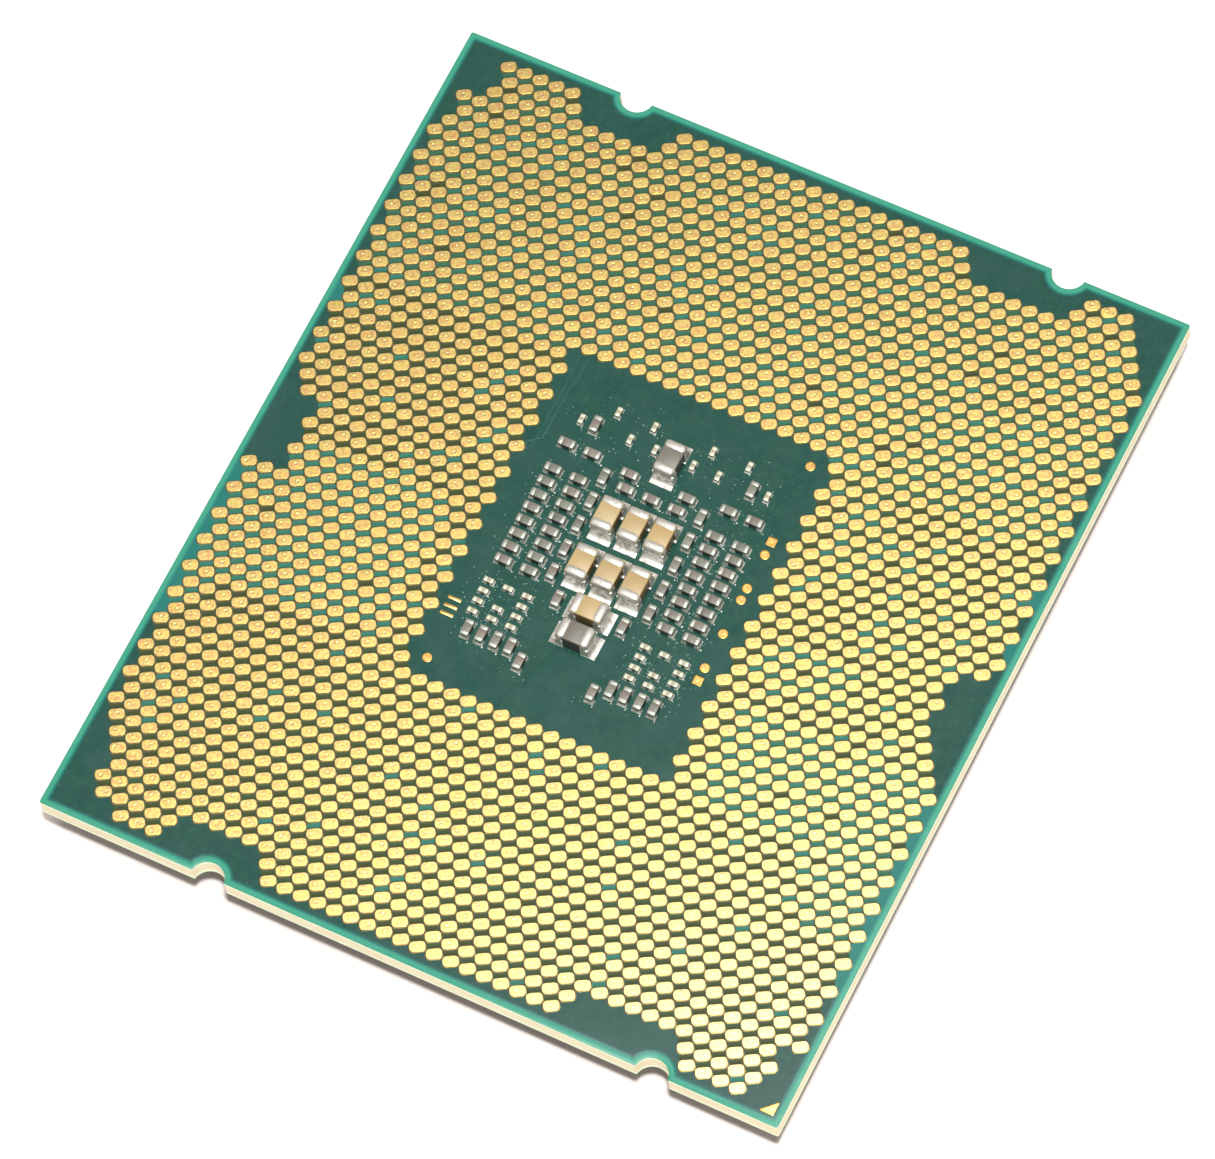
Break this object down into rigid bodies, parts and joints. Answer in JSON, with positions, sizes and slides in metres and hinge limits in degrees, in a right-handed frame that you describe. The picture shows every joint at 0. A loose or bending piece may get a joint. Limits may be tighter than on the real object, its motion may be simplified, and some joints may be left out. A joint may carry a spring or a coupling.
{
  "type": "computer processor",
  "caption": "Flat land grid array processor package: green laminated board with gold contact lands and chip capacitors on one face, flanged metal lid on the other.",
  "frame": {"origin": "centre of the lid outer face, which is the face it rests on, under the centre of the board", "axes": "+X along the short side of the board, +Y along the long side, +Z out of the land face, with the pin one corner at +X -Y"},
  "size_m": [0.045, 0.0524, 0.0058],
  "materials": {
    "gold_plating": "satin gold plate over nickel",
    "solder_mask": "semi-gloss green solder mask",
    "buildup_resin": "pale resin build-up layers, cut edge",
    "fibreglass": "cream glass-epoxy core, cut edge",
    "nickel_plating": "fine matt nickel plate over copper",
    "sealant": "matt black silicone adhesive",
    "silicon": "polished silicon back face",
    "indium_solder": "dull solder",
    "bump_solder": "dull solder",
    "underfill_epoxy": "dark epoxy fillet",
    "capacitor_ceramic_tan": "tan ceramic with tinned ends",
    "capacitor_ceramic_grey": "brown-grey ceramic with tinned ends"
  },
  "bodies": {
    "root": {"capacitor_bank_east_inner": "capacitor_ceramic_grey", "capacitor_bank_east_outer": "capacitor_ceramic_grey", "capacitor_bank_west_inner": "capacitor_ceramic_grey", "capacitor_bank_west_outer": "capacitor_ceramic_grey", "capacitor_column_east": "capacitor_ceramic_grey", "capacitor_column_west": "capacitor_ceramic_grey", "capacitor_row_southeast": "capacitor_ceramic_grey", "capacitor_row_southwest": "capacitor_ceramic_grey", "capacitor_single_east": "capacitor_ceramic_grey", "capacitor_single_northeast": "capacitor_ceramic_grey", "capacitor_single_northwest": "capacitor_ceramic_grey", "capacitor_single_southeast": "capacitor_ceramic_grey", "capacitor_single_southwest": "capacitor_ceramic_grey", "capacitor_single_west": "capacitor_ceramic_grey", "capacitor_trio_north": "capacitor_ceramic_grey", "die_side_buildup": "buildup_resin", "die_side_solder_mask": "solder_mask", "fiducial_lower": "gold_plating", "fiducial_upper": "gold_plating", "heat_spreader": "nickel_plating", "indium_solder": "indium_solder", "land_field_east": "gold_plating", "land_field_north": "gold_plating", "land_field_south": "gold_plating", "land_field_west": "gold_plating", "land_side_buildup": "buildup_resin", "land_side_solder_mask": "solder_mask", "lid_sealant": "sealant", "pin_one_marker_die_side": "gold_plating", "pin_one_marker_land_side": "gold_plating", "power_capacitor_1_1": "capacitor_ceramic_tan", "power_capacitor_1_2": "capacitor_ceramic_tan", "power_capacitor_1_3": "capacitor_ceramic_tan", "power_capacitor_2_1": "capacitor_ceramic_tan", "power_capacitor_2_2": "capacitor_ceramic_tan", "power_capacitor_2_3": "capacitor_ceramic_tan", "power_capacitor_far_south": "capacitor_ceramic_grey", "power_capacitor_north": "capacitor_ceramic_grey", "power_capacitor_south": "capacitor_ceramic_tan", "probe_pad_1": "gold_plating", "probe_pad_2": "gold_plating", "probe_pad_3": "gold_plating", "probe_pad_4": "gold_plating", "probe_pad_5": "gold_plating", "signal_capacitor_grid_east": "capacitor_ceramic_grey", "signal_capacitor_grid_west": "capacitor_ceramic_grey", "signal_capacitors_northeast": "capacitor_ceramic_grey", "signal_capacitors_northwest": "capacitor_ceramic_grey", "signal_capacitors_upper_east": "capacitor_ceramic_grey", "signal_capacitors_upper_west": "capacitor_ceramic_grey", "silicon_die": "silicon", "solder_bump_layer": "bump_solder", "square_pad_lower": "gold_plating", "square_pad_upper": "gold_plating", "substrate_core": "fibreglass", "underfill": "underfill_epoxy"}
  },
  "joints": []
}
